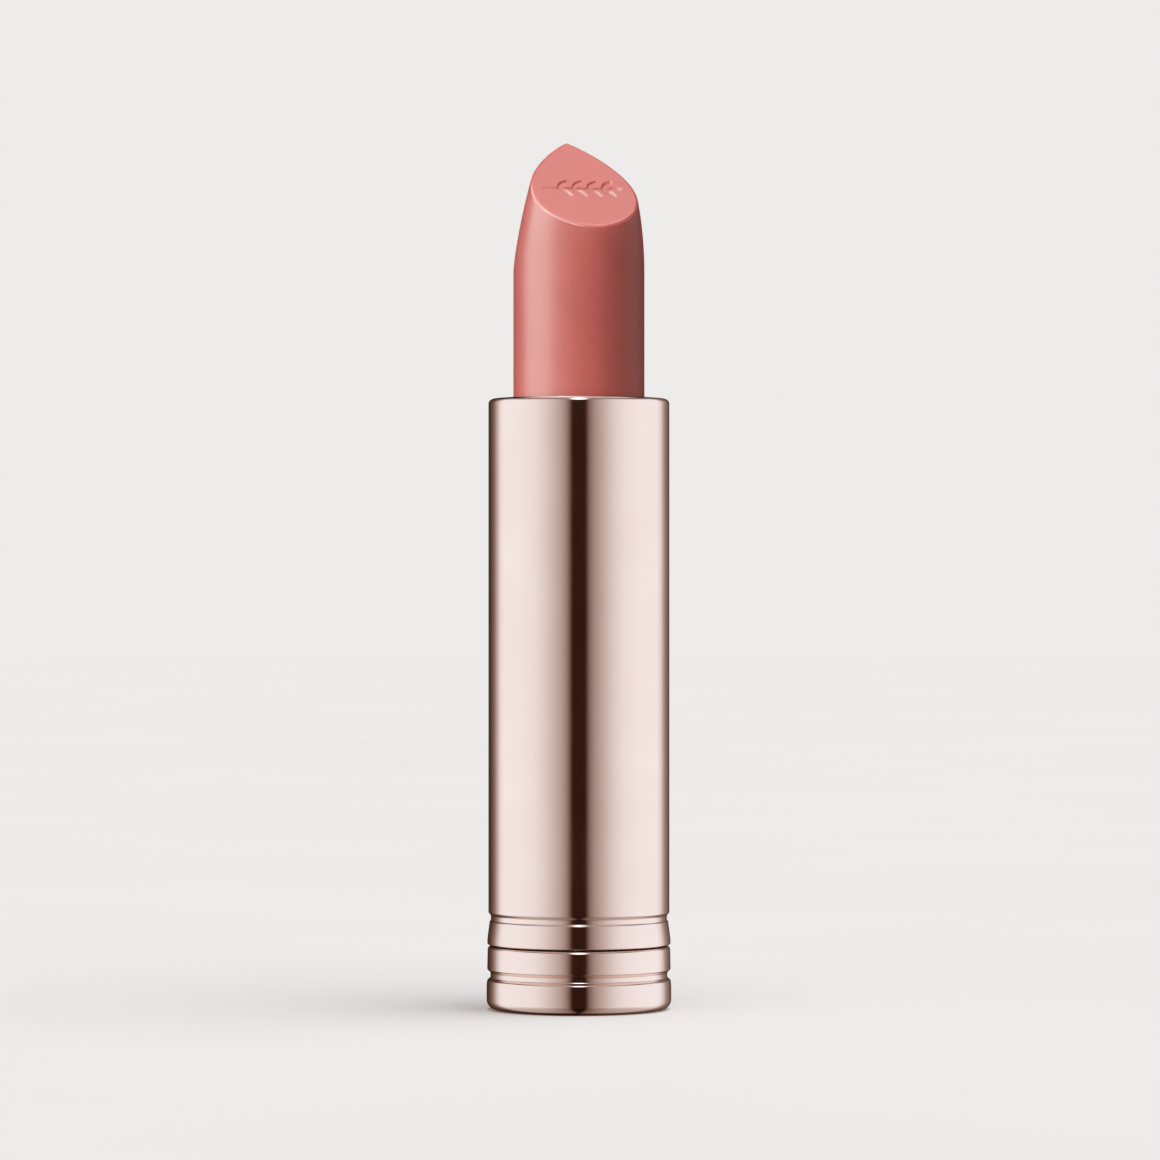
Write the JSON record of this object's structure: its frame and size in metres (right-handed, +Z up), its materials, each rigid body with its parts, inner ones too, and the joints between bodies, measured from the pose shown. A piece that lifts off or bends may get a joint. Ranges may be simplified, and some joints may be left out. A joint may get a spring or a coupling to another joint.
{
  "type": "twist-up lipstick refill",
  "caption": "Slim twist-up lipstick refill: long metal sleeve over a ringed metal foot, wax bullet with a slanted teardrop face raised by a spiral cam.",
  "frame": {"origin": "centre of the flat underside, on the case's axis", "axes": "+Z up along the case's axis towards the bullet's tip; the bullet's slanted face looks towards -Y; +X completes the right-handed frame"},
  "size_m": [0.017, 0.017, 0.0803],
  "materials": {
    "rose_gold_metal": "polished and anodised, mirror-bright",
    "lipstick_wax": "satin wax with a soft sheen",
    "cup_plastic": "moulded, satin gloss",
    "guide_plastic": "fine moulded texture",
    "cam_plastic": "natural acetal, satin",
    "liner_plastic": "moulded, matte",
    "silicone": "greased, slightly glossy",
    "label_film": "blank matte film"
  },
  "bodies": {
    "base": {"base_shell": "rose_gold_metal", "base_insert": "liner_plastic", "shade_label": "label_film", "inner_body": "guide_plastic", "brake_ring": "silicone"},
    "sleeve": {"outer_sleeve": "rose_gold_metal", "spiral_cam": "cam_plastic"},
    "elevator": {"elevator_cup": "cup_plastic", "lipstick_bullet": "lipstick_wax"}
  },
  "joints": [
    {"name": "sleeve_twist", "type": "hinge", "parent": "base", "child": "sleeve", "pos_m": [0, 0, 0.0085], "axis": [0, 0, 1], "range_deg": [0, 540]},
    {"name": "elevator_lift", "type": "slide", "parent": "base", "child": "elevator", "axis": [0, 0, 1], "range_m": [-0.027, 0]}
  ],
  "couplings": [
    {"joint": "elevator_lift", "follows": "sleeve_twist", "m_per_rad": -0.0028647}
  ]
}
